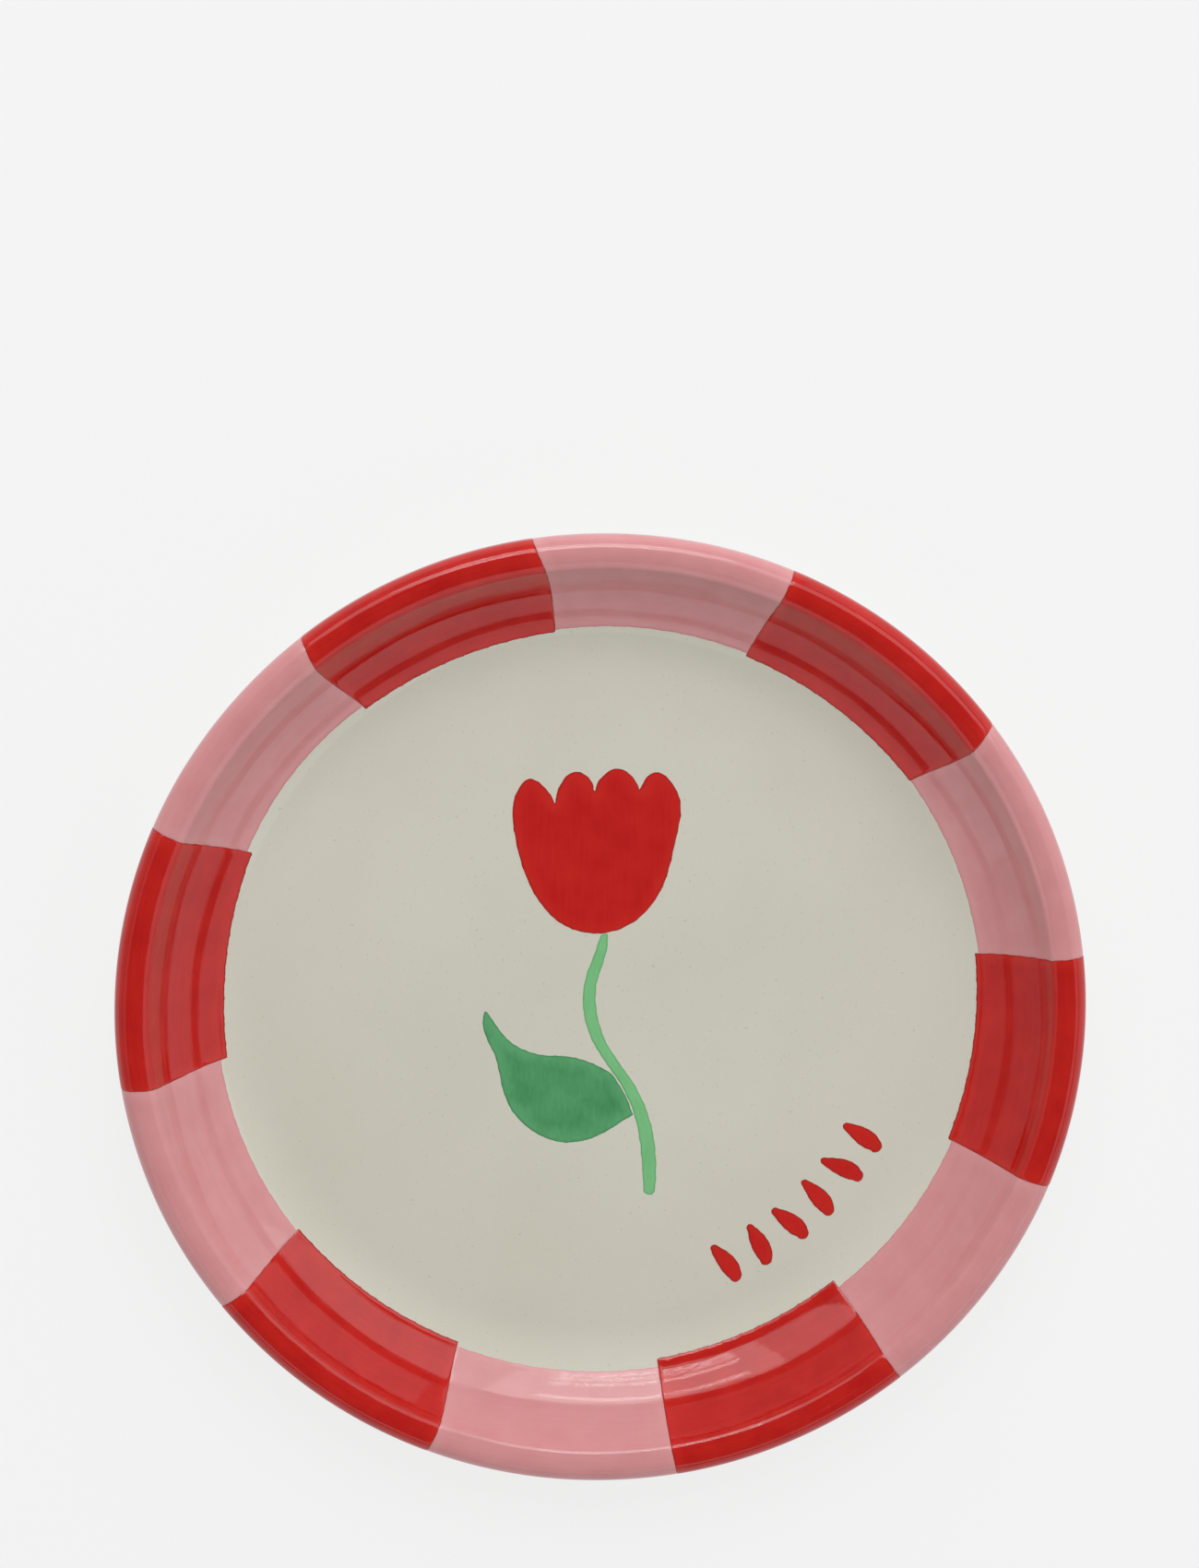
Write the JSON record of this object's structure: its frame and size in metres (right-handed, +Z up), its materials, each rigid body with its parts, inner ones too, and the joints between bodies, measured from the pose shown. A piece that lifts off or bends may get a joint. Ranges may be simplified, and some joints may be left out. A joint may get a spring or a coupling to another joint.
{
  "type": "dessert plate",
  "caption": "Round glazed ceramic plate with a wide coved rim painted in alternating pink and red blocks and a painted tulip in the well.",
  "frame": {"origin": "centre of the circle that the foot ring rests on, level with the table", "axes": "+Z up out of the plate along its axis, +Y towards the top of the painted tulip, +X to the right of the tulip"},
  "size_m": [0.21, 0.21, 0.0217],
  "materials": {
    "fired_clay": "bare, matt and faintly grainy",
    "cream_glaze": "glossy, softly uneven",
    "pink_colour": "glossy, brushed colour fused in the glaze",
    "red_colour": "glossy, brushed colour fused in the glaze",
    "stem_green": "glossy, brushed colour fused in the glaze",
    "leaf_green": "glossy, brushed colour fused in the glaze"
  },
  "bodies": {
    "root": {"clay_body": "fired_clay", "glaze_shell": "cream_glaze", "base_glaze": "cream_glaze", "tulip_head": "red_colour", "tulip_stem": "stem_green", "tulip_leaf": "leaf_green", "rim_pink_1": "pink_colour", "rim_red_1": "red_colour", "rim_pink_2": "pink_colour", "rim_red_2": "red_colour", "rim_pink_3": "pink_colour", "rim_red_3": "red_colour", "rim_pink_4": "pink_colour", "rim_red_4": "red_colour", "rim_pink_5": "pink_colour", "rim_red_5": "red_colour", "rim_pink_6": "pink_colour", "rim_red_6": "red_colour", "dab_1": "red_colour", "dab_2": "red_colour", "dab_3": "red_colour", "dab_4": "red_colour", "dab_5": "red_colour", "dab_6": "red_colour"}
  },
  "joints": []
}
